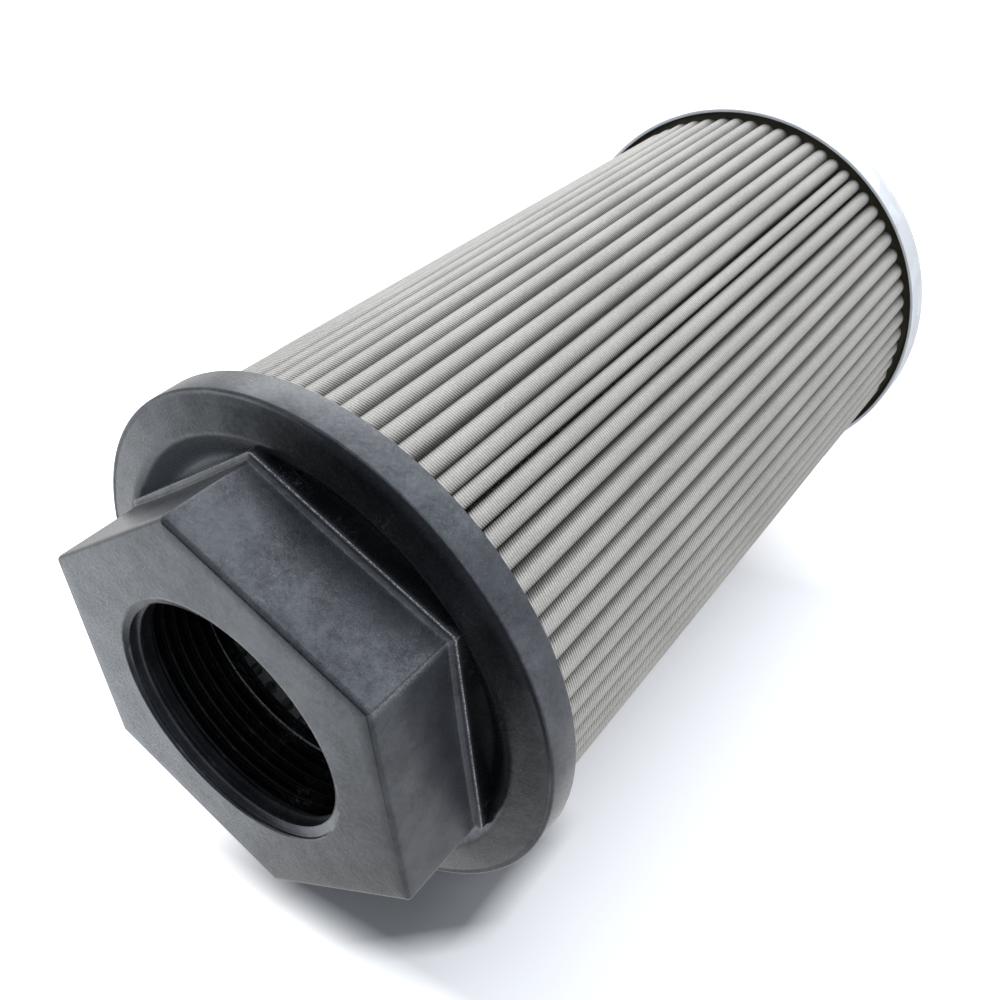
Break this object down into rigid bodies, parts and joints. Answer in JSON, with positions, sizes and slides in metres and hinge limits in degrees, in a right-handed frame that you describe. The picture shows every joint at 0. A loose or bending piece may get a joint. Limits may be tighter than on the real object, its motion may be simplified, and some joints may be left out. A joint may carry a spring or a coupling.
{
  "type": "suction filter",
  "caption": "Suction filter for a hydraulic oil tank: pleated wire mesh pack between a pressed steel end cap and a moulded hexagon head with a large female pipe thread.",
  "frame": {"origin": "centre of the end cap's outer face, which the filter stands on", "axes": "+Z along the filter's axis from the end cap to the threaded head; two opposite sides of the hexagon face -Y and +Y"},
  "size_m": [0.1, 0.1, 0.1925],
  "materials": {
    "head": "moulded charcoal, glass filled",
    "tube": "galvanised",
    "mesh": "woven wire, warm grey",
    "adhesive": "dark olive epoxy",
    "cap": "galvanised"
  },
  "bodies": {
    "root": {"hex_head": "head", "centre_tube": "tube", "pleat_pack": "mesh", "head_potting": "adhesive", "cap_potting": "adhesive", "end_cap": "cap"}
  },
  "joints": []
}
